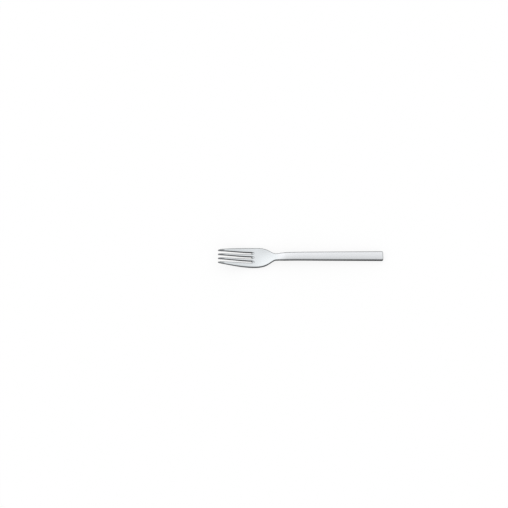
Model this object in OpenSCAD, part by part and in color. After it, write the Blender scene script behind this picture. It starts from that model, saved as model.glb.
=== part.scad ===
/* [Overall] */
// Length from the tips of the tines to the end of the handle
fork_l = 155; // [148:1:165]

/* [Tines] */
// Length of the slots from the tips to where their ends start to round
tine_l = 31; // [28:0.2:34]
// Length of the rounded end of a slot
cut_end_l = 0.6; // [0.5:0.1:1.2]
// Length of the pointed scoop that leads out of a slot, from where its end starts to round
scoop_l = 3.2; // [2:0.2:4]
// Depth of the scoop over the slot's end
scoop_depth = 0.65; // [0.6:0.05:1.2]
// Rounding of the scoop's edge at its point
scoop_edge_r = 0.35; // [0.2:0.05:0.5]
// Angle at which the scoop's edge falls away at its point
scoop_lip_angle = 50; // [35:5:70]
// Distance between the centres of two slots at the tips
tip_pitch = 3.9; // [3.8:0.05:4]
// Distance between the centres of two slots at their ends
root_pitch = 4.15; // [4:0.05:4.3]
// Width of a slot at the tips
tip_slot_w = 2.4; // [2.2:0.05:2.8]
// Width of a slot at its end
root_slot_w = 1.8; // [1.6:0.05:2]
// Width over the four tips
tips_w = 12.8; // [12.6:0.1:13.2]
// Angle at which the outer edges leave the tips
tips_flare_angle = 9.4; // [7:0.2:11]
// Length over which a tip is rounded
tip_l = 3; // [1.6:0.1:4]
// Thickness of a tine behind its tip
tip_t = 2.1; // [1.6:0.05:2.4]
// Rounding of the outer edges at the tips
tip_edge_r = 0.6; // [0.35:0.05:0.7]
// Rounding of the edges along the slots
slot_edge_r = 0.65; // [0.4:0.05:0.7]

/* [Bowl and neck] */
// Greatest width of the bowl, at the ends of the slots
bowl_w = 19; // [18.4:0.1:20]
// Thickness of the bowl
bowl_t = 3; // [2.7:0.05:3.3]
// Rounding of the outer edges of the bowl
bowl_edge_r = 0.95; // [0.8:0.05:1.15]
// Height of the bowl's sides over its middle, where it is deepest
bowl_dish = 0.4; // [0.2:0.05:0.8]
// Length from the slots' ends to the deepest place
dish_l = 8; // [5:0.5:10]
// Height of the outer sides over the middle at the slots' ends
root_dish = 0.15; // [0:0.05:0.4]
// Height of the outer tips over the inner ones
tips_dish = 0.2; // [0:0.05:0.5]
// Length from the slots' ends to the point where the shoulders are steepest
flank_l = 12.3; // [10.5:0.1:14]
// Width at the steepest point of the shoulders
shoulder_w = 14.4; // [13.6:0.1:14.8]
// Angle of the shoulders there, from the fork's axis
shoulder_angle = 27; // [24:0.5:30]
// Length from there to the narrowest point of the neck
waist_l = 8; // [7:0.1:9]
// Width of the neck at its narrowest
neck_w = 6.5; // [6.2:0.05:6.9]
// Thickness of the neck there
neck_t = 3.15; // [2.9:0.05:3.4]
// Rounding of the edges of the neck
neck_edge_r = 0.75; // [0.5:0.05:0.9]
// Length of the neck's end, from its narrowest point to the handle
collar_l = 1.5; // [1:0.1:2.5]

/* [Side curve] */
// Height of the undersides of the tips
tip_rise = 8.8; // [6:0.2:11]
// Angle at which the tines arrive at their tips
tip_angle = 9; // [6:0.5:12]
// Length from the slots' ends to the heel, the bowl's lowest point
heel_l = 1.8; // [0.5:0.1:4]
// Height of the underside of the neck at its narrowest
neck_rise = 2.45; // [1.8:0.05:3]
// Angle at which the neck climbs there
neck_angle = 11.5; // [8:0.5:14]
// Height of the underside at the crest of the handle
crest_rise = 4; // [3.6:0.05:4.4]
// Height of the underside where the straight part of the handle starts
straight_rise = 3.5; // [3.2:0.05:3.8]

/* [Handle] */
// Length of the nose, over which the handle widens from the neck
nose_l = 8; // [6:0.1:10]
// Length from the nose to the crest
crest_l = 6; // [4.6:0.2:8]
// Length from the crest to the start of the straight part
bend_l = 16; // [12:0.5:20]
// Width of the handle behind its nose
nose_w = 7.6; // [7.2:0.05:8]
// Angle at which the handle widens there
nose_angle = 0.6; // [0.3:0.05:1]
// Thickness of the handle behind its nose
nose_t = 3.9; // [3.6:0.05:4.2]
// Width of the handle at its end
end_w = 8.7; // [8.2:0.05:9.2]
// Thickness of the handle at its end
end_t = 4.4; // [4.2:0.05:4.8]
// Height of the crown of the handle's upper face
crown_h = 0.12; // [0.05:0.01:0.2]
// Rounding of the handle's long edges
handle_edge_r = 1; // [0.7:0.05:1.15]
// Rounding of the corners of the handle's end, seen from above
corner_r = 1; // [0.7:0.05:1.4]
// Rounding of the upper and lower edges of the handle's end
end_edge_r = 0.75; // [0.4:0.05:0.9]

/* [Shells and filling] */
// Wall of the handle's two shells
wall = 0.7; // [0.5:0.05:0.8]
// Wall at the end of the handle
end_wall = 1.2; // [1:0.1:2]
// Rounding inside the shells
cavity_edge_r = 0.3; // [0.15:0.05:0.4]
// Thickness of the brazed seams
braze_t = 0.2; // [0.1:0.05:0.3]
// Length of the tang inside the handle
tang_l = 32; // [20:1:50]
// Width of the tang
tang_w = 4; // [3:0.1:4.6]
// Thickness of the tang
tang_t = 1.3; // [1:0.05:1.5]
// Rounding of the tang's edges
tang_edge_r = 0.25; // [0.1:0.05:0.35]

/* [Hidden] */

tines = 4;
overrun = 1;

// How finely the skins are divided
rim_n = 3;
across_n = 4;
slot_end_n = 8;
tip_n = 5;
tine_rows = 12;
bridge_rows = 3;
bowl_rows = 16;
tang_rows = 6;
nose_rows = 6;
arch_rows = 8;
straight_rows = 5;
corner_rows = 5;

// Least share of its full width and thickness that a tip keeps at its very end
blunt_share = 0.45;
// Most of a thickness that the rounding of one edge takes up
rim_share = 0.42;
// Places across the flat of the handle, as shares of its half width
flat_shares = [1, 0.5, 0, -0.5, -1];

// Places along the fork, measured from the tips
root_at = tine_l + scoop_l;
heel_at = root_at + heel_l;
shoulder_at = root_at + flank_l;
neck_at = shoulder_at + waist_l;
joint_at = neck_at + collar_l;
shell_at = joint_at + braze_t;
nose_at = joint_at + nose_l;
crest_at = nose_at + crest_l;
straight_at = crest_at + bend_l;
rest_at = fork_l - end_edge_r;
dish_at = root_at + dish_l;
bridge_at = root_at + 2 * slot_edge_r;
tang_at = joint_at + tang_l;

handle_slope = straight_rise / (rest_at - straight_at);
taper_slope = (end_t - nose_t) / (fork_l - nose_at);

// Each knot is [place, value, slope]; a knot with no slope takes that of its neighbours
half_knots = [
    [0, tips_w / 2, tan(tips_flare_angle)],
    [root_at, bowl_w / 2, 0],
    [shoulder_at, shoulder_w / 2, -tan(shoulder_angle)],
    [neck_at, neck_w / 2, 0],
    [nose_at, nose_w / 2, tan(nose_angle)],
    [fork_l, end_w / 2]
];
under_knots = [
    [0, tip_rise, -tan(tip_angle)],
    [heel_at, 0, 0],
    [neck_at, neck_rise, tan(neck_angle)],
    [crest_at, crest_rise, 0],
    [straight_at, straight_rise, -handle_slope],
    [rest_at, 0, -handle_slope],
    [fork_l, -handle_slope * end_edge_r, -handle_slope]
];
thick_knots = [
    [0, tip_t],
    [root_at, bowl_t, 0],
    [neck_at, neck_t],
    [nose_at, nose_t, taper_slope],
    [fork_l, end_t, taper_slope]
];
dish_knots = [[0, tips_dish], [root_at, root_dish], [dish_at, bowl_dish, 0], [neck_at, 0, 0], [fork_l, 0, 0]];
crown_knots = [[neck_at, 0, 0], [nose_at, crown_h, 0], [fork_l, crown_h, 0]];
edge_knots = [
    [0, tip_edge_r],
    [root_at, bowl_edge_r, 0],
    [shoulder_at, bowl_edge_r, 0],
    [neck_at, neck_edge_r, 0],
    [nose_at, handle_edge_r, 0],
    [fork_l, handle_edge_r, 0]
];
slot_knots = [[0, tip_slot_w / 2], [tine_l, root_slot_w / 2, 0], [root_at, root_slot_w / 2, 0]];

function mix(a, b, t) = a + (b - a) * t;
function reverse(list) = [for (i = [len(list) - 1 : -1 : 0]) list[i]];
function steps(from, to, n) = [for (i = [0 : n]) mix(from, to, i / n)];
function inner(list) = [for (i = [1 : len(list) - 2]) list[i]];

// A smooth curve through knots: a cubic between each two, that has their values and slopes
function slope_at(knots, i) =
    let (a = knots[max(i - 1, 0)], b = knots[min(i + 1, len(knots) - 1)])
    is_num(knots[i][2]) ? knots[i][2] : (b[1] - a[1]) / (b[0] - a[0]);
function curve(knots, s, i = 0) =
    i < len(knots) - 2 && s > knots[i + 1][0]
    ? curve(knots, s, i + 1)
    : let (
          l = knots[i + 1][0] - knots[i][0],
          t = min(max((s - knots[i][0]) / l, 0), 1),
          rise = 3 * t * t - 2 * t * t * t
      )
      mix(knots[i][1], knots[i + 1][1], rise)
      + l * slope_at(knots, i) * t * (1 - t) * (1 - t)
      - l * slope_at(knots, i + 1) * t * t * (1 - t);

// The fork's outer form: half its width, and the heights of its two faces at a place s and a distance y from its axis
function half(s) = curve(half_knots, s);
function under(s) = curve(under_knots, s);
function thick(s) = curve(thick_knots, s) * tip_share(s);
function dish(s, y) = curve(dish_knots, s) * pow(y / half(s), 2);
function low_z(s, y) = under(s) + dish(s, y);
function top_z(s, y) = low_z(s, y) + thick(s) + curve(crown_knots, s) * (1 - pow(y / half(s), 2));
function middle_z(s) = under(s) + thick(s) / 2;
function at(s, y, z) = [s - fork_l / 2, y, z];

// A tip narrows and thins along a quarter of an ellipse
function tip_share(s) =
    s < tip_l ? mix(blunt_share, 1, sqrt(1 - pow(1 - s / tip_l, 2))) : 1;

// The edges of tine k, counted from the far side, at place s
function slot_y(m, s) = (tines / 2 - 1 - m) * mix(tip_pitch, root_pitch, min(s / tine_l, 1));
function slot_half(s) = curve(slot_knots, s);
function far_y(k, s) = k == 0 ? half(s) : slot_y(k - 1, s) - slot_half(s);
function near_y(k, s) = k == tines - 1 ? -half(s) : slot_y(k, s) + slot_half(s);
function tine_y(k, s, side) =
    let (far = far_y(k, s), near = near_y(k, s), mid = (far + near) / 2)
    mid + side * (far - near) / 2 * tip_share(s);
function tine_half(k, s) = (tine_y(k, s, 1) - tine_y(k, s, -1)) / 2;
function rim_r(s, room, edge_r) = min(edge_r, rim_share * thick(s), 2 * rim_share * room);
function outer_r(s, room) = rim_r(s, room, curve(edge_knots, s));
function far_round(k, s) = k == 0 ? outer_r(s, tine_half(k, s)) : rim_r(s, tine_half(k, s), slot_edge_r);
function near_round(k, s) = far_round(tines - 1 - k, s);

// A rounded edge: e is a point of the outline, n the direction into the metal, seen from above, and lip the angle
// from the upright at which the rounding starts
function rim(e, n, r, up, lip = 0) = [
    for (i = [0 : rim_n])
        let (a = mix(lip, 90, i / rim_n), s = e[0] + n[0] * r, y = e[1] + n[1] * r, drop = r * (1 - sin(a)))
        at(s - n[0] * r * cos(a), y - n[1] * r * cos(a), up ? top_z(s, y) - drop : low_z(s, y) + drop)
];
function face(s, ys, up) = [for (y = ys) at(s, y, up ? top_z(s, y) : low_z(s, y))];

// One side of a section, from its far edge to its near one; the points between the two rims are given
function half_ring(s, far, near, far_r, near_r, between, up) = concat(
    rim([s, far], [0, -1], far_r, up),
    between,
    reverse(rim([s, near], [0, 1], near_r, up))
);
function ring_of(upper, lower) = concat(upper, reverse(lower));

function tine_face(k, s, up) =
    face(s, steps(tine_y(k, s, 1) - far_round(k, s), tine_y(k, s, -1) + near_round(k, s), across_n), up);
function tine_side(k, s, up) =
    half_ring(
        s, tine_y(k, s, 1), tine_y(k, s, -1), far_round(k, s), near_round(k, s),
        inner(tine_face(k, s, up)), up
    );
function tine_ring(k, s) = ring_of(tine_side(k, s, true), tine_side(k, s, false));

// The end of slot m is half an ellipse of length l, short for the cut and long for the outline of the scoop
function slot_end_place(m, a, l) = [tine_l + l * sin(a), slot_y(m, tine_l) + root_slot_w / 2 * cos(a)];
function slot_end_normal(a, l) =
    let (n = [root_slot_w / 2 * sin(a), l * cos(a)])
    n / norm(n);
function slot_end_rim(m, a, up) =
    let (l = up ? scoop_l : cut_end_l, r = far_round(1, tine_l))
    rim(
        slot_end_place(m, a, l), slot_end_normal(a, l), up ? mix(r, scoop_edge_r, sin(a)) : r,
        up, up ? (90 - scoop_lip_angle) * sin(a) : 0
    );
function slot_end_face(m, up) = [
    for (i = [1 : slot_end_n - 1])
        slot_end_rim(m, 180 * i / slot_end_n, up)[rim_n]
];

// Its wall is a row of profiles, each from the upper face over the floor of the scoop to the lower face
function scoop_floor(m, a) =
    let (
        e = slot_end_place(m, a, cut_end_l), n = slot_end_normal(a, cut_end_l), r = far_round(1, tine_l),
        inside = e + n * r
    )
    at(e[0], e[1], top_z(inside[0], inside[1]) - mix(r, scoop_depth, sin(a)));
function wall_of(upper_rim, floor, lower_rim) = concat(reverse(upper_rim), [floor], lower_rim);
function tine_wall(k, side) =
    let (
        s = tine_l, e = [s, tine_y(k, s, side)], n = [0, -side],
        r = side > 0 ? far_round(k, s) : near_round(k, s), upper_rim = rim(e, n, r, true)
    )
    wall_of(upper_rim, upper_rim[0], rim(e, n, r, false));
function slot_end_grid(m) = concat(
    [tine_wall(m, -1)],
    [for (i = [1 : slot_end_n - 1])
        let (a = 180 * i / slot_end_n)
        wall_of(slot_end_rim(m, a, true), scoop_floor(m, a), slot_end_rim(m, a, false))],
    [tine_wall(m + 1, 1)]
);

// The bowl starts at the tines and the ends of the slots, and its lines run on to the neck
function bowl_start(up) = [
    for (k = [0 : tines - 1])
        each concat(tine_face(k, tine_l, up), k < tines - 1 ? slot_end_face(k, up) : [])
];
function flat_half(s) = half(s) - outer_r(s, half(s));
function lines_from(points) = [for (p = points) let (s = p[0] + fork_l / 2) [s, p[1] / flat_half(s)]];
upper_lines = lines_from(bowl_start(true));
lower_lines = lines_from(bowl_start(false));
line_shares = [for (line = upper_lines) line[1]];
function bowl_side(s, t, up) =
    half_ring(
        s, half(s), -half(s), outer_r(s, half(s)), outer_r(s, half(s)),
        [for (line = inner(up ? upper_lines : lower_lines))
            let (line_s = t < 1 ? mix(line[0], bridge_at, t) : s)
            face(line_s, [line[1] * flat_half(line_s)], up)[0]],
        up
    );
function bowl_ring(s, t) = ring_of(bowl_side(s, t, true), bowl_side(s, t, false));
function bowl_start_ring() =
    let (s = tine_l, r = far_round(0, s))
    ring_of(
        half_ring(s, half(s), -half(s), r, r, inner(bowl_start(true)), true),
        half_ring(s, half(s), -half(s), r, r, inner(bowl_start(false)), false)
    );

// A section of a bar: rounded edges, a flat underside and a crowned upper face
function bar_side(s, h, r, z, up, crown, shares) =
    let (
        sign = up ? 1 : -1,
        edge = [for (i = [0 : rim_n - 1]) let (a = 90 * i / rim_n) [h - r + r * cos(a), z - sign * r * (1 - sin(a))]]
    )
    concat(
        [for (p = edge) at(s, p[0], p[1])],
        [for (q = shares) at(s, q * (h - r), z + crown * (1 - q * q))],
        [for (p = reverse(edge)) at(s, -p[0], p[1])]
    );
function bar_ring(s, h, r, low, high, crown, shares) =
    ring_of(bar_side(s, h, r, high, true, crown, shares), bar_side(s, h, r, low, false, 0, shares));

function tang_ring(s, shares) =
    bar_ring(s, tang_w / 2, tang_edge_r, middle_z(s) - tang_t / 2, middle_z(s) + tang_t / 2, 0, shares);
function round_in(s, r) =
    let (d = s - fork_l + r)
    d > 0 ? r - sqrt(max(r * r - d * d, 0)) : 0;
function handle_ring(s) =
    bar_ring(
        s, half(s) - round_in(s, corner_r), curve(edge_knots, s),
        under(s) + round_in(s, end_edge_r), under(s) + thick(s) - round_in(s, end_edge_r),
        curve(crown_knots, s), flat_shares
    );
function cavity_ring(s) =
    bar_ring(
        s, half(s) - wall, cavity_edge_r, under(s) + wall, under(s) + thick(s) - wall,
        curve(crown_knots, s), flat_shares
    );

// Places of the sections
tine_places = concat(
    [for (i = [0 : tip_n - 1]) tip_l * (1 - cos(90 * i / tip_n))],
    steps(tip_l, tine_l, tine_rows)
);
tang_places = steps(joint_at, tang_at, tang_rows);
shell_places = concat(
    [shell_at],
    steps(joint_at + (nose_at - joint_at) / nose_rows, nose_at, nose_rows - 1),
    [for (i = [1 : arch_rows]) mix(nose_at, straight_at, i / arch_rows)],
    [for (i = [1 : straight_rows]) mix(straight_at, fork_l - corner_r, i / straight_rows)]
);
corner_places = [
    for (i = [1 : corner_rows])
        fork_l - corner_r + corner_r * sin(90 * i / corner_rows)
];
cavity_places = concat(
    [for (s = shell_places) if (s < fork_l - end_wall - overrun) s],
    [fork_l - end_wall]
);

// Skins: a grid of points is covered so that its columns crossed with its rows point outwards, but for the
// triangles that have two corners in one place
function quads(grid, first) = [
    for (i = [0 : len(grid) - 2], j = [0 : len(grid[0]) - 2])
        let (
            columns = len(grid[0]), a = first + i * columns + j, b = a + 1, c = a + columns, d = c + 1,
            pa = grid[i][j], pb = grid[i][j + 1], pc = grid[i + 1][j], pd = grid[i + 1][j + 1]
        )
        each concat(
            pa != pc && pc != pd && pa != pd ? [[a, c, d]] : [],
            pa != pd && pd != pb && pa != pb ? [[a, d, b]] : []
        )
];
function first_of(grids, k) = k == 0 ? 0 : first_of(grids, k - 1) + len(grids[k - 1]) * len(grids[k - 1][0]);
module skin(grids) {
    polyhedron(
        points = [for (g = grids) for (row = g) each row],
        faces = [for (k = [0 : len(grids) - 1]) each quads(grids[k], first_of(grids, k))]
    );
}
function tube(rings) = [for (r = rings) concat(r, [r[0]])];
function upper_of(ring) = [for (i = [0 : len(ring) / 2 - 1]) ring[i]];
function lower_of(ring) = [for (i = [0 : len(ring) / 2 - 1]) ring[len(ring) - 1 - i]];
function start_cap(ring) = [lower_of(ring), upper_of(ring)];
function end_cap(ring) = [upper_of(ring), lower_of(ring)];
module loft(rings) {
    skin([tube(rings), start_cap(rings[0]), end_cap(rings[len(rings) - 1])]);
}

// Tines, bowl, neck and the tang inside the handle, one forging
module fork_blank() {
    tang_rings = [for (s = tang_places) tang_ring(s, line_shares)];
    body_rings = concat(
        [bowl_start_ring()],
        [for (i = [1 : bridge_rows]) bowl_ring(mix(tine_l, bridge_at, i / bridge_rows), i / bridge_rows)],
        [for (i = [1 : bowl_rows]) bowl_ring(mix(bridge_at, joint_at, i / bowl_rows), 1)],
        tang_rings
    );
    tine_rings = [for (k = [0 : tines - 1]) [for (s = tine_places) tine_ring(k, s)]];
    color("#dfe3e6")
        skin(concat(
            [tube(body_rings), end_cap(tang_rings[tang_rows])],
            [for (rings = tine_rings) tube(rings)],
            [for (rings = tine_rings) start_cap(rings[0])],
            [for (m = [0 : tines - 2]) slot_end_grid(m)]
        ));
}

module tang_room() {
    loft([for (s = concat([joint_at - overrun], tang_places)) tang_ring(s, flat_shares)]);
}
module handle_body() {
    loft([for (s = concat(shell_places, corner_places)) handle_ring(s)]);
}
module cavity(front) {
    loft([for (s = concat(front, cavity_places)) cavity_ring(s)]);
}

// A layer along the parting line, between two heights over it
module parting_layer(low, high) {
    reach = end_w;
    places = concat([joint_at - overrun], shell_places, [fork_l + overrun]);
    loft([
        for (s = places)
            let (z = middle_z(s))
            [at(s, reach, z + high), at(s, -reach, z + high), at(s, -reach, z + low), at(s, reach, z + low)]
    ]);
}

// Upper and lower halves of the hollow handle, pressed from sheet
module handle_upper_shell() {
    color("#d3d7db")
        difference() {
            intersection() {
                handle_body();
                parting_layer(braze_t / 2, end_t);
            }
            cavity([joint_at]);
        }
}
module handle_lower_shell() {
    color("#b9bfc4")
        difference() {
            intersection() {
                handle_body();
                parting_layer(-end_t, -braze_t / 2);
            }
            cavity([joint_at]);
        }
}

// Brazing metal between the neck and the shells, round the tang
module neck_braze() {
    color("#e8d9a8")
        difference() {
            loft([handle_ring(joint_at), handle_ring(shell_at)]);
            tang_room();
        }
}

// Brazing metal along the parting line, down both sides and across the end
module seam_braze() {
    color("#e8d9a8")
        difference() {
            intersection() {
                handle_body();
                parting_layer(-braze_t / 2, braze_t / 2);
            }
            cavity([joint_at]);
        }
}

// Filling that holds the tang and gives the handle its weight
module handle_filler() {
    color("#8f8a80")
        difference() {
            cavity([]);
            tang_room();
        }
}

fork_blank();
handle_upper_shell();
handle_lower_shell();
neck_braze();
seam_braze();
handle_filler();
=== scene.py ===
# %% [markdown]
# # A pastry fork with a hollow handle
# This small fork has four slender tines, a shallow bowl and a straight, square-ended handle.
# One steel forging makes the tines, the bowl and the neck, and runs on as a tang inside the handle.
# The handle is two pressed shells, brazed together along their edges and filled.
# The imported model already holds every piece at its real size, so it is loaded as a fixed frame.

# %% Load the frame
import math

import bmesh
import bpy
import numpy as np
from mathutils import Matrix, Vector


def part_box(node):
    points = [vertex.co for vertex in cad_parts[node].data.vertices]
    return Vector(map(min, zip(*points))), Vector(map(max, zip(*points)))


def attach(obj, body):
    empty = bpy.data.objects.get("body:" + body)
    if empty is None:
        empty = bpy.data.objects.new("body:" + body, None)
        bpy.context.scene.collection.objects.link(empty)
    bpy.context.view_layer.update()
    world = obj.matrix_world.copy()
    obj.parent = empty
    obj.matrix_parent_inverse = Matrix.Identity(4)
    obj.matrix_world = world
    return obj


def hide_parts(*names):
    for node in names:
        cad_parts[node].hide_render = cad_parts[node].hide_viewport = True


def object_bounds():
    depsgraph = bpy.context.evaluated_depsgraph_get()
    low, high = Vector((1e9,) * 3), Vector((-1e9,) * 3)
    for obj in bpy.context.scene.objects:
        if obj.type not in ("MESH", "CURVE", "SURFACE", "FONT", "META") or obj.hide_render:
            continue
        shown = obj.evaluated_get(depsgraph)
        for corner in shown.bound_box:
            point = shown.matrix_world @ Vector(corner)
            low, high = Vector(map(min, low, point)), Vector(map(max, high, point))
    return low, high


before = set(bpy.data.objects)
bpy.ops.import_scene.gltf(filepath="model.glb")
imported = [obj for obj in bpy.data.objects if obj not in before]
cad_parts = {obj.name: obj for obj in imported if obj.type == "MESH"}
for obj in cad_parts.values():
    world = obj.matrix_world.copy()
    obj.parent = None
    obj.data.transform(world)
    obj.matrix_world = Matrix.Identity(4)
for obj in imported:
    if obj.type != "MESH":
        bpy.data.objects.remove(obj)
cad_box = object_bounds()
print("pieces in the frame:", ", ".join(sorted(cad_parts)))

# %% [markdown]
# ## Sizes
# Every surface below is worked out in millimetres, along a line from the tips of the tines to the
# end of the handle. Sizes could be typed in anew, but two sets of sizes drift apart, so the main
# ones are measured on the frame. Only what a box can't tell, such as a rounding, is named here.

# %% Sizes measured on the frame
MM = 0.001


def span(node, axis):
    """Lowest and highest place of a frame piece along one axis, in millimetres."""
    low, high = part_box(node)
    return low[axis] / MM, high[axis] / MM


fork_l = (cad_box[1].x - cad_box[0].x) / MM
joint_at, shell_at = (x + fork_l / 2 for x in span("neck_braze", 0))
tang_at = span("fork_blank", 0)[1] + fork_l / 2
cavity_end = span("handle_filler", 0)[1] + fork_l / 2
bowl_w = 2 * span("fork_blank", 1)[1]
print(f"fork {fork_l:.1f} mm long, bowl {bowl_w:.1f} mm wide, handle from {shell_at:.1f} mm")

# %% Sizes of the tines and the slots
tines = 4
tine_l = 31.0
cut_end_l = 0.6
scoop_l = 3.2
scoop_depth = 0.65
scoop_edge_r = 0.35
scoop_lip = math.radians(50)
tip_pitch = 3.9
root_pitch = 4.15
tip_slot_w = 2.4
root_slot_w = 1.8
tips_w = 12.8
tips_flare = math.tan(math.radians(9.4))
tip_l = 3
tip_t = 2.1
tip_blunt = 0.45
tip_edge_r = 0.6
slot_edge_r = 0.65
print(f"{tines} tines, {tine_l:.0f} mm long to the cut ends of the slots")

# %% Sizes of the bowl, the neck and the tang
bowl_t = 3.0
bowl_edge_r = 0.95
bowl_dish = 0.4
root_dish = 0.15
tips_dish = 0.2
dish_l = 8.0
flank_l = 12.3
shoulder_w = 14.4
shoulder_slope = math.tan(math.radians(27))
waist_l = 8.0
neck_w = 6.5
neck_t = 3.15
neck_edge_r = 0.75
tang_w = 4.0
tang_t = 1.3
tang_edge_r = 0.25
print(f"the bowl is {bowl_t} mm thick and narrows to a neck {neck_w} mm wide")

# %% Heights over the table
heel_l = 1.8
tip_rise = 8.8
tip_slope = math.tan(math.radians(9))
neck_rise = 2.45
neck_slope = math.tan(math.radians(11.5))
crest_rise = 4.0
straight_rise = 3.5
print(f"the tips lie {tip_rise} mm over the table, and the handle's crest {crest_rise} mm")

# %% Sizes of the handle and its shells
nose_l = 8.0
crest_l = 6.0
bend_l = 16.0
nose_w = 7.6
nose_slope = math.tan(math.radians(0.6))
nose_t = 3.9
end_w = 8.7
end_t = 4.4
crown_h = 0.12
handle_edge_r = 1.0
corner_r = 1.0
end_edge_r = 0.75
wall = 0.7
cavity_edge_r = 0.3
braze_t = 0.2
print(f"the handle widens from {nose_w} to {end_w} mm, with walls of {wall} mm")

# %% Places along the fork
root_at = tine_l + scoop_l
bridge_at = root_at + 2 * slot_edge_r
dish_at = root_at + dish_l
heel_at = root_at + heel_l
shoulder_at = root_at + flank_l
neck_at = shoulder_at + waist_l
nose_at = joint_at + nose_l
crest_at = nose_at + crest_l
straight_at = crest_at + bend_l
rest_at = fork_l - end_edge_r
print(f"slots end {root_at:.1f} mm from the tips, and the handle starts at {shell_at:.1f} mm")

# %% [markdown]
# ## The curves that the fork follows
# A fork has no flat sides: its width, its height over the table and its thickness all change along
# its length. Each could be drawn by hand as a curve with handles. Here each is a short list of
# knots, and one function joins them by cubics, because numpy can then work out thousands of points
# at once.

# %% A smooth curve through knots
def curve(knots, s):
    """Through knots of place, value and slope: between two knots, the cubic that has their values
    and slopes. A knot with no slope takes that of the line between its neighbours."""
    last = len(knots) - 1
    places = np.array([k[0] for k in knots], float)
    values = np.array([k[1] for k in knots], float)
    slopes = np.empty(len(knots))
    for i, knot in enumerate(knots):
        before, after = knots[max(i - 1, 0)], knots[min(i + 1, last)]
        slopes[i] = knot[2] if len(knot) > 2 else (after[1] - before[1]) / (after[0] - before[0])
    s = np.asarray(s, float)
    i = np.clip(np.searchsorted(places, s) - 1, 0, last - 1)
    length = places[i + 1] - places[i]
    t = np.clip((s - places[i]) / length, 0, 1)
    return (
        values[i] + (values[i + 1] - values[i]) * (3 * t**2 - 2 * t**3)
        + length * slopes[i] * t * (1 - t) ** 2
        - length * slopes[i + 1] * t**2 * (1 - t)
    )


handle_slope = straight_rise / (rest_at - straight_at)
taper_slope = (end_t - nose_t) / (fork_l - nose_at)
half_knots = [
    (0, tips_w / 2, tips_flare),
    (root_at, bowl_w / 2, 0),
    (shoulder_at, shoulder_w / 2, -shoulder_slope),
    (neck_at, neck_w / 2, 0),
    (nose_at, nose_w / 2, nose_slope),
    (fork_l, end_w / 2),
]
under_knots = [
    (0, tip_rise, -tip_slope),
    (heel_at, 0, 0),
    (neck_at, neck_rise, neck_slope),
    (crest_at, crest_rise, 0),
    (straight_at, straight_rise, -handle_slope),
    (rest_at, 0, -handle_slope),
    (fork_l, -handle_slope * end_edge_r, -handle_slope),
]
thick_knots = [
    (0, tip_t),
    (root_at, bowl_t, 0),
    (neck_at, neck_t),
    (nose_at, nose_t, taper_slope),
    (fork_l, end_t, taper_slope),
]
dish_knots = [
    (0, tips_dish),
    (root_at, root_dish),
    (dish_at, bowl_dish, 0),
    (neck_at, 0, 0),
    (fork_l, 0, 0),
]
crown_knots = [(neck_at, 0, 0), (nose_at, crown_h, 0), (fork_l, crown_h, 0)]
edge_knots = [
    (0, tip_edge_r),
    (root_at, bowl_edge_r, 0),
    (shoulder_at, bowl_edge_r, 0),
    (neck_at, neck_edge_r, 0),
    (nose_at, handle_edge_r, 0),
    (fork_l, handle_edge_r, 0),
]
slot_knots = [(0, tip_slot_w / 2), (tine_l, root_slot_w / 2, 0), (root_at, root_slot_w / 2, 0)]
print(f"the handle falls {handle_slope:.3f} mm a millimetre to its end")

# %% The fork's outer form
rim_share = 0.42


def tip_share(s):
    """A tip narrows and thins along a quarter of an ellipse, to a blunt share of its full size."""
    t = np.clip(1 - np.asarray(s, float) / tip_l, 0, 1)
    return tip_blunt + (1 - tip_blunt) * np.sqrt(1 - t**2)


def half(s):
    """Half the width of the fork."""
    return curve(half_knots, s)


def under(s):
    """Height of the underside over the table, on the axis."""
    return curve(under_knots, s)


def thick(s):
    """Thickness on the axis: its curve, times what the tip leaves of it."""
    return curve(thick_knots, s) * tip_share(s)


def middle(s):
    """Height halfway between the lower and the upper face, on the axis."""
    return under(s) + thick(s) / 2


def rim_radius(s, room, edge_r):
    """Rounding of an edge, but no more than its thickness and its width have room for."""
    return np.minimum(edge_r, rim_share * np.minimum(thick(s), 2 * room))


def outer_radius(s, room):
    """Rounding of the fork's outer edges, by its curve."""
    return rim_radius(s, room, curve(edge_knots, s))


def face_z(s, y, up):
    """Height of the upper or lower face: the underside's curve, plus a dish that grows with the
    square of the distance from the axis, plus the thickness and the crown on the upper face."""
    share = np.clip(y / half(s), -1, 1)
    low = under(s) + curve(dish_knots, s) * share**2
    return low + thick(s) + curve(crown_knots, s) * (1 - share**2) if up else low


def place(s, y, z):
    """Points in the frame, in metres, from places along the fork, across it and over the table."""
    return np.stack(np.broadcast_arrays(s - fork_l / 2, y, z), axis=-1) * MM


print(f"the neck is {2 * half(neck_at):.2f} mm wide and {thick(neck_at):.2f} mm thick")

# %% [markdown]
# ## From grids of points to closed skins
# A modeller could start from a box and subdivide it, but thin rims and slot ends then pinch.
# Every skin here is a set of grids that share their borders: each grid is a function of two
# parameters, and a weld closes the skin. The volume that is printed shows that it faces outwards.

# %% Functions that weld grids into one closed skin
weld_gap = 1e-6
crease_angle = math.radians(34)


def faces_of(grid, first):
    """The four corners of each cell of a grid, so that columns crossed with rows point outwards."""
    rows, columns = grid.shape[:2]
    index = np.arange(rows * columns).reshape(rows, columns) + first
    corners = (index[:-1, :-1], index[:-1, 1:], index[1:, 1:], index[1:, :-1])
    return np.stack(corners, axis=-1).reshape(-1, 4)


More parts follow.
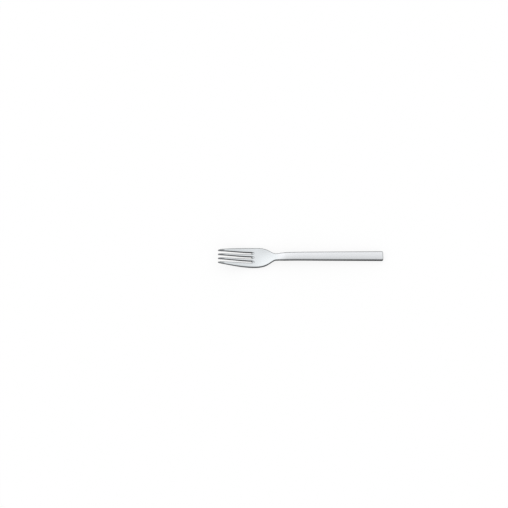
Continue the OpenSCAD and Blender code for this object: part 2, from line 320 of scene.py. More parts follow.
def skin(name, grids):
    """A piece from grids of points, welded along their borders and smooth up to a crease."""
    firsts = np.cumsum([0] + [g.shape[0] * g.shape[1] for g in grids])
    points = np.concatenate([g.reshape(-1, 3) for g in grids])
    faces = np.concatenate([faces_of(g, first) for g, first in zip(grids, firsts)])
    mesh = bpy.data.meshes.new(name)
    mesh.from_pydata(points, [], faces)
    work = bmesh.new()
    work.from_mesh(mesh)
    bmesh.ops.remove_doubles(work, verts=work.verts, dist=weld_gap)
    bmesh.ops.dissolve_degenerate(work, edges=work.edges, dist=weld_gap)
    open_edges = sum(not e.is_manifold for e in work.edges)
    volume = work.calc_volume(signed=True) / MM**3
    work.to_mesh(mesh)
    work.free()
    mesh.shade_smooth()
    mesh.set_sharp_from_angle(angle=crease_angle)
    piece = bpy.data.objects.new(name, mesh)
    bpy.context.scene.collection.objects.link(piece)
    print(f"{name}: {len(mesh.polygons)} faces, {volume:.1f} mm3, {open_edges} open edges")
    return piece


def settle(piece, slot, *nodes):
    """The piece rides on the one body and stands for frame pieces, which it hides. Its slot is not
    used.
    """
    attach(piece, "root")
    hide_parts(*nodes)
    return piece


print(f"faces that turn by more than {math.degrees(crease_angle):.0f} degrees keep a crease")

# %% [markdown]
# ## Tines
# A tine is a tapering bar with rounded edges, so one section serves along its whole length.
# The section is an upper and a lower side, each with a rim, a face and a rim, and the two are
# joined into a ring. Rings along the tine make a tube, and a small flat closes the blunt tip.

# %% Sections of the forging
rim_steps = 8
across_steps = 10
rim_turn = np.linspace(0, np.pi / 2, rim_steps + 1)[None, :]


def rim(s, edge, r, inwards, up):
    """A rounded edge: a quarter of a circle of radius r, from the side of the metal to its face."""
    inside = edge + inwards * r
    drop = r * (1 - np.sin(rim_turn)) * (-1 if up else 1)
    return place(s, inside - inwards * r * np.cos(rim_turn), face_z(s, inside, up) + drop)


def half_section(s, far, near, far_r, near_r, flat_s, flat_y, up):
    """One side of a section, from its far edge to its near one: a rounded edge, the points of the
    face, and another rounded edge."""
    far_rim = rim(s, far, far_r, -1, up)
    face = place(flat_s, flat_y, face_z(flat_s, flat_y, up))
    near_rim = rim(s, near, near_r, 1, up)
    return np.concatenate([far_rim, face, near_rim[:, ::-1]], axis=1)


def tube(upper, lower):
    """Upper sides, then lower sides backwards, closed by the first column."""
    return np.concatenate([upper, lower[:, ::-1], upper[:, :1]], axis=1)


def start_cap(upper, lower):
    """The flat that closes a tube at its first section, from its lower to its upper side."""
    return np.stack([lower[0], upper[0]])


def end_cap(upper, lower):
    """The flat that closes a tube at its last section, from its upper to its lower side."""
    return np.stack([upper[-1], lower[-1]])


print(f"a rounded edge is {rim_steps} faces wide, and the top of a tine {across_steps}")

# %% The tines' outlines, seen from above
def slot_y(m, s):
    """The middle of slot m: the slots spread apart a little from the tips to their ends."""
    return (tines / 2 - 1 - m) * (tip_pitch + (root_pitch - tip_pitch) * np.clip(s / tine_l, 0, 1))


def slot_half(s):
    """Half the width of a slot."""
    return curve(slot_knots, s)


def tine_edges(k, s):
    """Far and near edge of tine k: outer edges follow the fork's outline, and inner ones a slot."""
    far = half(s) if k == 0 else slot_y(k - 1, s) - slot_half(s)
    near = -half(s) if k == tines - 1 else slot_y(k, s) + slot_half(s)
    middle_y, reach = (far + near) / 2, (far - near) / 2 * tip_share(s)
    return middle_y + reach, middle_y - reach


def tine_radii(k, s):
    """Roundings of tine k's far and near edge: wide on the fork's outline, narrow on a slot."""
    far, near = tine_edges(k, s)
    room = (far - near) / 2
    outer, inner = outer_radius(s, room), rim_radius(s, room, slot_edge_r)
    return outer if k == 0 else inner, outer if k == tines - 1 else inner


def tine_side(k, s, up):
    """Rows along tine k, at places s."""
    s = s[:, None]
    far, near = tine_edges(k, s)
    far_r, near_r = tine_radii(k, s)
    share = np.linspace(0, 1, across_steps + 1)[None, 1:-1]
    flat_y = far - far_r + (near - far + far_r + near_r) * share
    return half_section(s, far, near, far_r, near_r, s, flat_y, up)


print(f"slots lie {tip_pitch} mm apart at the tips and {root_pitch} mm at their ends")

# %% Sections along the tines
tip_rows = 14
tine_rows = 66
tip_places = tip_l * (1 - np.cos(np.linspace(0, np.pi / 2, tip_rows + 1)))
tine_places = np.concatenate([tip_places[:-1], np.linspace(tip_l, tine_l, tine_rows + 1)])


def tine_grids(k):
    """The tube of tine k, and the flat on its tip."""
    upper, lower = tine_side(k, tine_places, True), tine_side(k, tine_places, False)
    return [tube(upper, lower), start_cap(upper, lower)]


print(f"{tines} tines with {len(tine_places)} sections each")

# %% [markdown]
# ## Slot ends
# Between two tines the slot is cut through to a short round end, and a shallow scoop leads out of
# it to a point in the bowl. Cutting it with a modifier would leave sharp rims. Here the wall is
# swept round two half ellipses, a long one for the scoop's outline and a short one for the cut, and
# each profile of it runs from the upper face over the scoop's floor to the lower face.

# %% The arches at the ends of the slots
arch_steps = 32
arch_a = np.linspace(0, np.pi, arch_steps + 1)[:, None]
arch_r = float(rim_radius(tine_l, root_pitch, slot_edge_r))


def arch(m, length):
    """Places on half an ellipse at the end of slot m, and its directions into the metal."""
    s = tine_l + length * np.sin(arch_a)
    y = slot_y(m, tine_l) + root_slot_w / 2 * np.cos(arch_a)
    n_s, n_y = root_slot_w / 2 * np.sin(arch_a), length * np.cos(arch_a)
    size = np.hypot(n_s, n_y)
    return s, y, n_s / size, n_y / size


def arch_rim(m, up):
    """The rounded edge of the scoop above or of the cut below: an arc that is a quarter of a circle
    at the tines, and on the scoop shrinks and flattens towards its point. Its first column lies on
    the wall and its last one on the face."""
    s, y, n_s, n_y = arch(m, scoop_l if up else cut_end_l)
    turned = np.sin(arch_a) if up else 0 * arch_a
    r = arch_r + (scoop_edge_r - arch_r) * turned
    lip = (np.pi / 2 - scoop_lip) * turned
    turn = lip + (np.pi / 2 - lip) * rim_turn / (np.pi / 2)
    inner_s, inner_y = s + n_s * r, y + n_y * r
    drop = r * (1 - np.sin(turn)) * (-1 if up else 1)
    out = r * np.cos(turn)
    return place(inner_s - n_s * out, inner_y - n_y * out, face_z(inner_s, inner_y, up) + drop)


print(f"an arch has {arch_steps} steps, and its rim starts with a radius of {arch_r:.2f} mm")

# %% The scoops and the cuts
floor_steps = 10
floor_round_steps = 4
floor_round_share = 0.3


def arch_grid(m):
    """The scoop and the wall of the cut. The floor falls straight from the scoop's rounded edge to
    the cut and turns down into it along a parabola, which shrinks to nothing at the tines."""
    upper, lower = arch_rim(m, True), arch_rim(m, False)
    s, y, n_s, n_y = arch(m, cut_end_l)
    depth = arch_r + (scoop_depth - arch_r) * np.sin(arch_a)
    corner = place(s, y, face_z(s + n_s * arch_r, y + n_y * arch_r, True) - depth)
    rounded = floor_round_share * np.sin(arch_a)[..., None]
    start = upper[:, :1] + (corner - upper[:, :1]) * (1 - rounded)
    end = corner + (lower[:, :1] - corner) * rounded
    t = np.linspace(0, 1, floor_steps + 1)[None, :, None]
    floor = upper[:, :1] + (start - upper[:, :1]) * t
    t = np.linspace(0, 1, floor_round_steps + 1)[None, 1:, None]
    turned = start * (1 - t) ** 2 + corner * 2 * t * (1 - t) + end * t**2
    return np.concatenate([upper[:, :0:-1], floor, turned, lower], axis=1)


print(f"each slot ends in a scoop {scoop_l} mm long and {scoop_depth} mm deep")

# %% Where the lines of the bowl start
def flat_half(s):
    """Half the width of the flat part of a face, between its rounded edges."""
    return half(s) - outer_radius(s, half(s))


def bowl_lines(up):
    """Where the lines of the bowl start, across each tine and round each arch between two tines:
    their places along the fork, and across it as shares of the flat half width."""
    starts = []
    for k in range(tines):
        edges, radii = tine_edges(k, tine_l), tine_radii(k, tine_l)
        across = np.linspace(edges[0] - radii[0], edges[1] + radii[1], across_steps + 1)
        starts.append(np.stack([np.full(across_steps + 1, tine_l), across]))
        if k < tines - 1:
            on_face = arch_rim(k, up)[1:-1, -1] / MM
            starts.append(np.stack([on_face[:, 0] + fork_l / 2, on_face[:, 1]]))
    s, y = np.concatenate(starts, axis=1)
    shares = y / flat_half(s)
    shares[[0, -1]] = 1, -1
    return s[None, :], shares[None, :]


lines = {up: bowl_lines(up) for up in (True, False)}
print(f"{lines[True][0].size} lines run from the tines and the arches over the bowl to the neck")

# %% [markdown]
# ## Bowl, neck and tang
# The lines that leave the tines and the arches draw together towards the neck, and each keeps its
# share of the width. So the mesh flows along the fork, as the steel did in the forging die.
# Behind the neck the same lines step down to the tang, which is hidden in the handle.

# %% Rows over the bowl
bridge_rows = 8
bowl_rows = 110
bridge_t = np.linspace(0, 1, bridge_rows + 1)
bowl_t_rows = np.concatenate([bridge_t, np.ones(bowl_rows)])[:, None]
bowl_s_rows = np.concatenate(
    [tine_l + (bridge_at - tine_l) * bridge_t, np.linspace(bridge_at, joint_at, bowl_rows + 1)[1:]]
)[:, None]


def bowl_side(up):
    """Rows over the bowl: at first they follow the arches, and then they lie straight across."""
    s, t = bowl_s_rows, bowl_t_rows
    line_s, line_shares = lines[up]
    r = outer_radius(s, half(s))
    flat_s = line_s[:, 1:-1] * (1 - t) + np.where(t < 1, bridge_at * t, s)
    flat_y = line_shares[:, 1:-1] * flat_half(flat_s)
    return half_section(s, half(s), -half(s), r, r, flat_s, flat_y, up)


print(f"{len(bowl_s_rows)} rows lead from the tines to the neck's end face")

# %% The tang, and the whole forging
tang_rows = 10


def bar_side(s, h, r, z, up, crown, shares):
    """One side of a bar: a quarter of a circle, a face with a crown and a quarter of a circle."""
    sign = 1 if up else -1
    turn = rim_turn[:, :-1]
    out, drop = r * np.cos(turn), sign * r * (1 - np.sin(turn))
    far_rim = place(s, h - r + out, z - drop)
    near_rim = place(s, r - h - out, z - drop)
    face = place(s, shares * (h - r), z + crown * (1 - shares**2))
    return np.concatenate([far_rim, face, near_rim[:, ::-1]], axis=1)


def tang_sides(s, shares):
    """Upper and lower side of the tang, a flat bar halfway up the handle."""
    low, high = middle(s) - tang_t / 2, middle(s) + tang_t / 2
    return [
        bar_side(s, tang_w / 2, tang_edge_r, z, up, 0, shares)
        for z, up in ((high, True), (low, False))
    ]


tang_places = np.linspace(joint_at, tang_at, tang_rows + 1)[:, None]
tang_upper, tang_lower = tang_sides(tang_places, lines[True][1])
body_upper = np.concatenate([bowl_side(True), tang_upper])
body_lower = np.concatenate([bowl_side(False), tang_lower])
head_grids = [tube(body_upper, body_lower), end_cap(body_upper, body_lower)]
head_grids += [grid for k in range(tines) for grid in tine_grids(k)]
head_grids += [arch_grid(m) for m in range(tines - 1)]
fork_head = settle(skin("fork_head", head_grids), "blank_steel", "fork_blank")

# %% [markdown]
# ## Handle shells
# Each shell is pressed from sheet steel, as a long trough with a closed end. A Solidify modifier
# could give a surface its wall, but it would thin the wall at the square end. Both skins of the
# wall are worked out instead, with the faces between them where the shells were joined.

# %% Sections of the handle
side_steps = 5
handle_across = 24
nose_rows = 40
arch_rows = 90
straight_rows = 60
corner_rows = 14
across_shares = np.linspace(1, -1, handle_across + 1)[None, :]

corner_places = fork_l - corner_r + corner_r * np.sin(np.linspace(0, np.pi / 2, corner_rows + 1))
shell_places = np.unique(np.concatenate([
    np.linspace(shell_at, nose_at, nose_rows + 1),
    np.linspace(nose_at, straight_at, arch_rows + 1),
    np.linspace(straight_at, cavity_end, straight_rows + 1),
    corner_places,
]))
cavity_places = shell_places[shell_places <= cavity_end + weld_gap]


def round_in(s, r):
    """How far a rounded corner of radius r draws in at place s, by a quarter of a circle."""
    depth = np.clip(s - fork_l + r, 0, r)
    return r - np.sqrt(r**2 - depth**2)


def trough(s, h, r, z, part_z, crown):
    """Half a hollow bar: up its far side from the parting line, over its face, and down again."""
    sign = np.sign(z - part_z)
    lift = np.linspace(0, 1, side_steps + 1)[None, :-1]
    side_z = part_z + (z - sign * r - part_z) * lift
    up = bool(np.all(sign > 0))
    bar = bar_side(s, h, r, z, up, crown, across_shares)
    return np.concatenate([place(s, h, side_z), bar, place(s, -h, side_z)[:, ::-1]], axis=1)


def outer_trough(s, sign):
    """The outer skin of a shell: the fork's width and faces, drawn in at the square end."""
    s = s[:, None]
    face = middle(s) + sign * (thick(s) / 2 - round_in(s, end_edge_r))
    crown = curve(crown_knots, s) if sign > 0 else 0 * s
    part = middle(s) + sign * braze_t / 2
    return trough(s, half(s) - round_in(s, corner_r), curve(edge_knots, s), face, part, crown)


def inner_trough(s, sign):
    """The inner skin of a shell, a wall's thickness inside the outer one."""
    s = s[:, None]
    face = middle(s) + sign * (thick(s) / 2 - wall)
    crown = curve(crown_knots, s) if sign > 0 else 0 * s
    part = middle(s) + sign * braze_t / 2
    return trough(s, half(s) - wall, cavity_edge_r, face, part, crown)


print(f"{len(shell_places)} sections along the handle")

# %% The seam's path, round the open edge of a shell
def seam_path(points, fill):
    """Down the far side, across the end and back up the near side. Rows past the cavity's end
    repeat its last corner, so that the inner and the outer path have as many points."""
    far = np.concatenate([points[:, 0], np.repeat(points[-1:, 0], fill, axis=0)])
    near = np.concatenate([points[:, -1], np.repeat(points[-1:, -1], fill, axis=0)])
    return far, near[::-1]


def chord(ring, part_z):
    """The end of a shell along its parting line, under the points of its last section."""
    line = ring.copy()
    line[:, 2] = part_z
    return line


def seam_paths(sign):
    """The outer and inner paths of the parting face, on the upper or lower side of the seam."""
    outer, inner = outer_trough(shell_places, sign), inner_trough(cavity_places, sign)
    paths = []
    for rows in (outer, inner):
        far, near = seam_path(rows, len(shell_places) - len(rows))
        paths.append(np.concatenate([far, chord(rows[-1], rows[-1, 0, 2]), near]))
    return paths


def shell_grids(sign):
    """All faces of one shell: its two skins, the ends of both, its front and its parting face."""
    outer, inner = outer_trough(shell_places, sign), inner_trough(cavity_places, sign)
    grids = [
        outer,
        inner[:, ::-1],
        np.stack([outer[-1], chord(outer[-1], outer[-1, 0, 2])]),
        np.stack([chord(inner[-1], inner[-1, 0, 2]), inner[-1]]),
        np.stack([inner[0], outer[0]]),
        np.stack(seam_paths(sign)),
    ]
    return grids if sign > 0 else [g[:, ::-1] for g in grids]


handle_upper = settle(skin("handle_upper", shell_grids(1)), "handle_steel", "handle_upper_shell")
handle_lower = settle(skin("handle_lower", shell_grids(-1)), "handle_steel", "handle_lower_shell")

# %% [markdown]
# ## Brazed joints
# Silver braze closes the seam between the shells and the joint at the neck, and is then ground
# flush, so it shows only as a hairline of slightly warmer metal. A painted line could fake it.
# As the joints are real pieces here, their hairlines stay in place from every side.

# %% The seam round the shells and the ring at the neck
def seam_grids():
    """The seam: a square section between the two parting faces, carried along their paths."""
    outer_up, inner_up = seam_paths(1)
    outer_low, inner_low = seam_paths(-1)
    around = np.stack([outer_up, outer_low, inner_low, inner_up, outer_up])
    far_end = np.stack([around[[3, 0], 0], around[[2, 1], 0]])
    near_end = np.stack([around[[0, 3], -1], around[[1, 2], -1]])
    return [around, far_end, near_end]


def ring_at(s):
    """The handle's whole section at one place, as one row."""
    s = np.array([[s]])
    h, r = half(s), curve(edge_knots, s)
    upper = bar_side(s, h, r, under(s) + thick(s), True, curve(crown_knots, s), across_shares)
    return tube(upper, bar_side(s, h, r, under(s), False, 0 * s, across_shares))


def tang_ring_at(s):
    """The tang's whole section at one place, as one row."""
    return tube(*tang_sides(np.array([[s]]), across_shares))


def neck_grids():
    """A flat ring: out along its rim, in over its back, through its hole and out over its front."""
    rim_start, rim_end = ring_at(joint_at), ring_at(shell_at)
    hole_start, hole_end = tang_ring_at(joint_at), tang_ring_at(shell_at)
    return [np.concatenate([rim_start, rim_end, hole_end, hole_start, rim_start])]


seam_line = settle(skin("seam_line", seam_grids()), "braze", "seam_braze")
neck_line = settle(skin("neck_line", neck_grids()), "braze", "neck_braze")

# %% [markdown]
# ## Writing shader maths as Python
# A finish needs many small sums, and placing Math nodes by hand hides what they do.
# A small class wraps a socket, so that a sum on it adds the node that works it out.
# Any other node comes from one method, which takes its settings first and then its sockets.

# %% Nodes from expressions
class Wire:
    """A number on its way from one node to the next. Sums and products on it add Math nodes."""

    def __init__(self, net, socket):
        self.net = net
        self.socket = socket

    def __add__(self, other):
        return self.net.math("ADD", self, other)

    def __sub__(self, other):
        return self.net.math("SUBTRACT", self, other)

    def __rsub__(self, other):
        return self.net.math("SUBTRACT", other, self)

    def __mul__(self, other):
        return self.net.math("MULTIPLY", self, other)

    __radd__ = __add__
    __rmul__ = __mul__

    def above(self, low, high):
        """0 below low, 1 over high and a soft step between them."""
        settings = {"interpolation_type": "SMOOTHSTEP"}
        sockets = {"Value": self, "From Min": low, "From Max": high}
        return self.net.node("ShaderNodeMapRange", settings, sockets)


class Net:
    """The nodes of one material or world."""

    def __init__(self, tree):
        self.tree = tree

    def put(self, socket, value):
        """Links a wire to a socket, or sets a value on it."""
        if isinstance(value, Wire):
            self.tree.links.new(value.socket, socket)
        else:
            socket.default_value = value

    def node(self, kind, settings=None, sockets=None, output=0):
        """Adds one node: its settings first, then the values or wires of its sockets."""
        made = self.tree.nodes.new(kind)
        for name, value in (settings or {}).items():
            setattr(made, name, value)
        for name, value in (sockets or {}).items():
            self.put(made.inputs[name], value)
        return Wire(self, made.outputs[output])

    def math(self, operation, *values):
        """One Math node."""
        return self.node("ShaderNodeMath", {"operation": operation}, dict(enumerate(values)))

    def mix(self, factor, a, b):
        """A colour between a and b."""
        return self.node("ShaderNodeMix", {"data_type": "RGBA"}, {0: factor, 6: a, 7: b}, 2)

    def noise(self, where, scale, detail=2.0, rough=0.5):
        """Soft noise about 0.5, with finer layers by its detail."""
        sockets = {"Vector": where, "Scale": scale, "Detail": detail, "Roughness": rough}
        return self.node("ShaderNodeTexNoise", None, sockets)

    def split(self, vector):
        """The three numbers of a vector."""
        sockets = {"Vector": vector}
        return [self.node("ShaderNodeSeparateXYZ", None, sockets, axis) for axis in "XYZ"]

    def turned(self, where, scale, angle=0.0):
        """Coordinates that are turned about the upright axis and then stretched."""
        sockets = {"Vector": where, "Scale": scale, "Rotation": (0, 0, angle)}
        return self.node("ShaderNodeMapping", None, sockets)


print("shader maths is ready")

# %% [markdown]
# ## Steel
# Cutlery steel is polished along its length, and what is left is a faint grain with a few fine
# scratches and the haze that washing leaves. A brushed picture could be laid on, but it would stop
# at its edges. Noise stretched along the fork has no edges and goes round every corner.
# The narrow sides are ground and polished less, so an attribute on the mesh tells where they are.
# Their colour is painted dark there as well: painted shade for the dark reflections of the sides
# and tips.

# %% Where the metal is ground, and where shade is painted
climb_step = 0.2
side_from = 0.97
side_full = 0.86
# Round a tip the attribute keeps at least this share, so the tips get duller roughness and painted
# shade.
tip_ground_and_shade = 0.6
tip_ground_and_shade_l = 7.0
tip_ground_and_shade_fade = 2.0


def climb(s):
    """How steeply the fork climbs at a place, by the difference of two heights close together."""
    return (middle(s + climb_step) - middle(s - climb_step)) / (2 * climb_step)


def mark_ground_and_shade(piece):
    """An attribute: 0 on the broad faces, 1 on the narrow sides, and no less than a share of it
    all round a tip. It marks where grinding left the metal duller, and where painted shade darkens
    its colour. It goes by the part of the normal at each face's corner that is square to the
    fork's own side curve."""
    mesh = piece.data
    normals = np.empty(len(mesh.loops) * 3, np.float32)
    mesh.corner_normals.foreach_get("vector", normals)
    points = np.empty(len(mesh.vertices) * 3, np.float32)
    mesh.vertices.foreach_get("co", points)
    point_of = np.empty(len(mesh.loops), np.int32)
    mesh.loops.foreach_get("vertex_index", point_of)
    s = points.reshape(-1, 3)[point_of, 0] / MM + fork_l / 2
    slope = climb(s)
    normals = normals.reshape(-1, 3)
    upright = np.abs(normals[:, 2] - slope * normals[:, 0]) / np.sqrt(1 + slope**2)
    side = np.clip((side_from - upright) / (side_from - side_full), 0, 1)
    tip = tip_ground_and_shade * np.clip((tip_ground_and_shade_l - s) / tip_ground_and_shade_fade, 0, 1)
    layer = mesh.attributes.new("ground_and_shade", "FLOAT", "CORNER")
    layer.data.foreach_set("value", np.maximum(side, tip).astype(np.float32))
    print(f"{piece.name}: {np.mean(side > 0):.0%} of its corners lie on ground sides")


for piece in (fork_head, handle_upper, handle_lower, seam_line, neck_line):
    mark_ground_and_shade(piece)

# %% The grain, haze and scratches of polished steel
mid = 0.5
fine_stretch = (110, 9000, 9000)
fine_tone, fine_rough, fine_height = 0.16, 0.08, 0.4
broad_stretch = (26, 1500, 1500)
broad_tone, broad_height = 0.12, 0.6
haze_scale, haze_rough = 75.0, 0.10
cloud_scale, cloud_share, cloud_dim = 30.0, 0.6, 0.965
cloud_band = (0.35, 0.65)
least_tone = 0.06
scratch_runs = ((0.22, 2600), (-0.35, 3400), (1.1, 4200))
scratch_along, scratch_over = 260, 900
scratch_band = (0.735, 0.77)
scratch_rough, scratch_height = 0.05, -0.5
polish, ground_rough = 0.17, 0.12
bump_share, bump_depth = 0.25, 0.00002
print(f"scratches run {len(scratch_runs)} ways")

# %% Polished steel
def steel(name, polished, ground_and_shade):
    """Polished steel: stretched noise for the grain, thin lines for scratches, a cloudy haze in the
    roughness, and a duller tone where grinding left the metal, whose colour is painted dark there
    as painted shade."""
    material = bpy.data.materials.new(name)
    material.use_nodes = True
    net = Net(material.node_tree)
    shader = material.node_tree.nodes["Principled BSDF"]
    where = net.node("ShaderNodeTexCoord", output="Object")
    fine = net.noise(net.turned(where, fine_stretch), 1.0, detail=3.0)
    broad = net.noise(net.turned(where, broad_stretch), 1.0, detail=4.0)
    haze = net.noise(where, haze_scale, detail=3.0, rough=0.6)
    cloud = net.noise(where, cloud_scale)
    marks = 0
    for angle, across in scratch_runs:
        stretch = (scratch_along, across, scratch_over)
        streaks = net.noise(net.turned(where, stretch, angle), 1.0, detail=1.0)
        marks = streaks.above(*scratch_band) + marks
    # Where the attribute is 1 the colour turns to the dark tone, which is painted shade; the
    # roughness below is the real dullness.
    edge = net.node("ShaderNodeAttribute", {"attribute_name": "ground_and_shade"}, output="Fac")
    tone = net.mix(edge.above(0.0, 1.0), polished, ground_and_shade)
    dim = tuple(c * cloud_dim for c in ground_and_shade[:3]) + (1,)
    tint = net.mix(cloud.above(*cloud_band) * cloud_share, tone, dim)
    streaky = (fine - mid) * fine_tone + (broad - mid) * broad_tone + least_tone
    shade = net.mix(streaky, tone, tint)
    net.put(shader.inputs["Base Color"], shade)
    net.put(shader.inputs["Metallic"], 1.0)
    rough = polish + (fine - mid) * fine_rough + (haze - mid) * haze_rough
    rough = rough + edge * ground_rough + marks * scratch_rough
    net.put(shader.inputs["Roughness"], rough)
    height = fine * fine_height + broad * broad_height + marks * scratch_height
    sockets = {"Height": height, "Strength": bump_share, "Distance": bump_depth}
    net.put(shader.inputs["Normal"], net.node("ShaderNodeBump", None, sockets))
    print(f"{name}: {len(material.node_tree.nodes)} nodes")
    return material


def dress(piece, material):
    """The piece takes this one material."""
    piece.data.materials.clear()
    piece.data.materials.append(material)


# The second, dark colour of each steel is painted shade for its narrow sides and tips.
blank_steel = steel("polished_steel", (0.765, 0.795, 0.815, 1), (0.22, 0.229, 0.235, 1))
handle_steel = steel("handle_steel", (0.775, 0.79, 0.81, 1), (0.30, 0.309, 0.316, 1))
braze_metal = steel("silver_braze", (0.77, 0.765, 0.745, 1), (0.32, 0.316, 0.304, 1))
dress(fork_head, blank_steel)
dress(handle_upper, handle_steel)
dress(handle_lower, handle_steel)
dress(seam_line, braze_metal)
dress(neck_line, braze_metal)

# %% [markdown]
# ## Filling
# Inside the handle a hard cast filling holds the tang and gives the handle its weight.
# Nobody sees it, so the frame's own solid stays. It still gets the look of a cast cement, with
# grains and small pits, because the part may be opened or exported.

# %% Cast filling
grain_scale, grain_share, grain_rough = 2400.0, 0.5, 0.2
grain_band = (0.4, 0.7)
patch_scale = 160.0
pit_scale = 900.0
pit_band = (0.68, 0.76)
cement_rough = 0.82
cement_bump, cement_depth = 0.5, 0.0001


def cast_filling():
    """A dull cement: two sizes of grain in its colour and its bump, and small dark pits."""
    material = bpy.data.materials.new("cast_filling")
    material.use_nodes = True
    net = Net(material.node_tree)
    shader = material.node_tree.nodes["Principled BSDF"]
    where = net.node("ShaderNodeTexCoord", output="Object")
    grains = net.noise(where, grain_scale, detail=4.0, rough=0.6)
    patches = net.noise(where, patch_scale, detail=3.0)
    pits = net.noise(where, pit_scale, detail=1.0).above(*pit_band)
    tone = net.mix(patches, (0.40, 0.385, 0.355, 1), (0.50, 0.475, 0.44, 1))
    speckled = net.mix(grains.above(*grain_band) * grain_share, tone, (0.58, 0.56, 0.53, 1))
    net.put(shader.inputs["Base Color"], net.mix(pits, speckled, (0.16, 0.15, 0.14, 1)))
    net.put(shader.inputs["Roughness"], cement_rough + (grains - mid) * grain_rough)
    sockets = {"Height": grains - pits, "Strength": cement_bump, "Distance": cement_depth}
    net.put(shader.inputs["Normal"], net.node("ShaderNodeBump", None, sockets))
    return material


dress(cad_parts["handle_filler"], cast_filling())
print("the filling keeps its frame solid")

# %% [markdown]
# ## Camera
# The fork is seen from high over its near side, with a long lens that hardly draws its far end in.
# The camera could be placed by eye. It is worked out instead from the direction of the view and
# from how wide a strip of the table the picture shows.

# %% The camera
elevation = math.radians(74.0)
azimuth = math.radians(-0.83)
lens = 85.0
film = 36.0
view_w = 0.4762
aim_left = 0.0438
aim_up = 0.0021

back = Vector((
    math.sin(azimuth) * math.cos(elevation),
    -math.cos(azimuth) * math.cos(elevation),
    math.sin(elevation),
))
right = Vector((math.cos(azimuth), math.sin(azimuth), 0))
up = back.cross(right)
centre = Vector((0, 0, middle(fork_l / 2) * MM))
aim = centre - right * aim_left + up * aim_up
camera_data = bpy.data.cameras.new("camera")
camera_data.lens = lens
camera_data.sensor_width = film
camera = bpy.data.objects.new("camera", camera_data)
camera.matrix_world = Matrix.Translation(aim + back * (view_w * lens / film)) @ Matrix(
    (right, up, back)
).transposed().to_4x4()
bpy.context.scene.collection.objects.link(camera)
bpy.context.scene.camera = camera
print(f"the camera stands {view_w * lens / film:.2f} m from the table")

# %% [markdown]
# ## Light
# Polished steel shows nothing of its own: its faces are as bright as what they mirror.
# In the studio a wide white panel hangs overhead, the upper walls are dark, and a pale band goes
# round at the horizon. From above, upward faces come out white and narrow sides dark, the sides
# helped by the painted shade in the steel's colour, and from low down the steel still looks light.
# Lamps and cards could do this. Drawn in the world, the same soft light has no noise.

# %% The studio
panel_level = 1.13
near_room = 0.3
far_room = 0.06
panel_near = (-0.6, 0.5)
panel_far = (0.6, 1.4)
panel_ends = (1.6, 3.2)
panel_tilt = 0.25
tilt_limit = 0.8
horizon_level = 0.95
horizon_fade = (0.3, 0.55)
least_height = 0.02


def studio():
    """White for the eye and for soft light. In mirrored rays a big panel hangs over the fork, a
    little towards its far side and its tines. It fades out towards both sides, by the slope of the
    direction along Y, and near the ends of the fork, by the slope along X. The rest is a dark room,
    lighter on its near side, with a pale band over the horizon, by the height of the direction."""
    world = bpy.data.worlds.new("studio")
    world.use_nodes = True
    bpy.context.scene.world = world
    net = Net(world.node_tree)
    direction = net.node("ShaderNodeTexCoord", output="Generated")
    x, y, z = net.split(direction)
    height = net.math("MAXIMUM", z, least_height)
    lean_x = net.math("DIVIDE", x, height)
    lean_y = net.math("DIVIDE", y, height)
    near_fade = lean_y.above(*panel_near)
    far_fade = 1 - lean_y.above(*panel_far)
    end_fade = 1 - net.math("ABSOLUTE", lean_x).above(*panel_ends)
    leaning = net.math("MAXIMUM", net.math("MINIMUM", lean_x, tilt_limit), -tilt_limit)
    tilt = 1 - leaning * panel_tilt
    room = near_room + near_fade * (far_room - near_room)
    panel = near_fade * far_fade * end_fade * tilt * (panel_level - room)
    horizon = (1 - z.above(*horizon_fade)) * (horizon_level - room)
    level = room + net.math("MAXIMUM", panel, horizon)
    mirrored = net.node("ShaderNodeLightPath", output="Is Glossy Ray")
    background = world.node_tree.nodes["Background"]
    net.put(background.inputs["Color"], (1, 1, 1, 1))
    net.put(background.inputs["Strength"], 1 + (level - 1) * mirrored)


studio()
bpy.context.scene.view_settings.view_transform = "Standard"
print("the studio is lit")

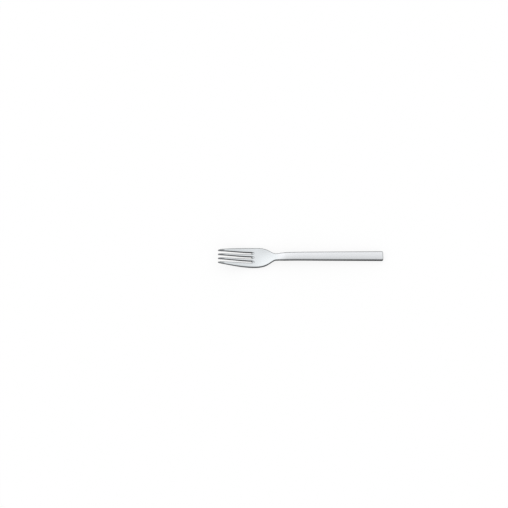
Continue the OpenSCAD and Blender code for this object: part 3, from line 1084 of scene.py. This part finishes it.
# %% [markdown]
# ## Floor
# The floor is a plain pale sheet that keeps the fork's soft shadow. A diffuse white plane could do,
# but it takes the whole shadow, which looks heavy under so small a thing. So most of what the eye
# sees of it is plain white light, and a small share is diffuse. The steel mirrors a pale floor too,
# but close by, where the fork covers it, the floor's colour is a painted shadow.

# %% The studio floor
floor_half = 3.0
floor_z = -0.00002
shadow_share = 0.2
# Painted shadow: the floor's colour that the steel mirrors close round the fork.
floor_painted_shadow = (0.07, 0.077, 0.082, 1)
floor_pale = (0.85, 0.86, 0.87, 1)
dark_beside = (0.012, 0.022)
dark_beyond = (0.082, 0.094)


def studio_floor():
    """A flat floor: white to the eye, with a share of its shadow. In the fork's mirror it is pale
    too, but close round the fork its colour is a painted shadow, where the fork keeps the light
    from it."""
    corners = [(x, y, floor_z) for x, y in ((-1, -1), (1, -1), (1, 1), (-1, 1))]
    points = [(x * floor_half, y * floor_half, z) for x, y, z in corners]
    mesh = bpy.data.meshes.new("floor")
    mesh.from_pydata(points, [], [(0, 1, 2, 3)])
    floor = bpy.data.objects.new("floor", mesh)
    bpy.context.scene.collection.objects.link(floor)
    material = bpy.data.materials.new("floor")
    material.use_nodes = True
    net = Net(material.node_tree)
    white = net.node("ShaderNodeEmission", None, {"Color": (1, 1, 1, 1), "Strength": 1.0})
    shaded = net.node("ShaderNodeBsdfDiffuse", None, {"Color": (1, 1, 1, 1)})
    where = net.node("ShaderNodeTexCoord", output="Object")
    x, y, _ = net.split(where)
    beside = net.math("ABSOLUTE", y).above(*dark_beside)
    beyond = net.math("ABSOLUTE", x).above(*dark_beyond)
    tone = net.mix(net.math("MAXIMUM", beside, beyond), floor_painted_shadow, floor_pale)
    grey = net.node("ShaderNodeBsdfDiffuse", None, {"Color": tone})
    seen = net.node("ShaderNodeMixShader", None, {0: shadow_share, 1: white, 2: shaded})
    eye = net.node("ShaderNodeLightPath", output="Is Camera Ray")
    surface = net.node("ShaderNodeMixShader", None, {0: eye, 1: grey, 2: seen})
    output = material.node_tree.nodes["Material Output"]
    net.put(output.inputs["Surface"], surface)
    dress(floor, material)


studio_floor()
print(f"the floor is {2 * floor_half:.0f} m wide")
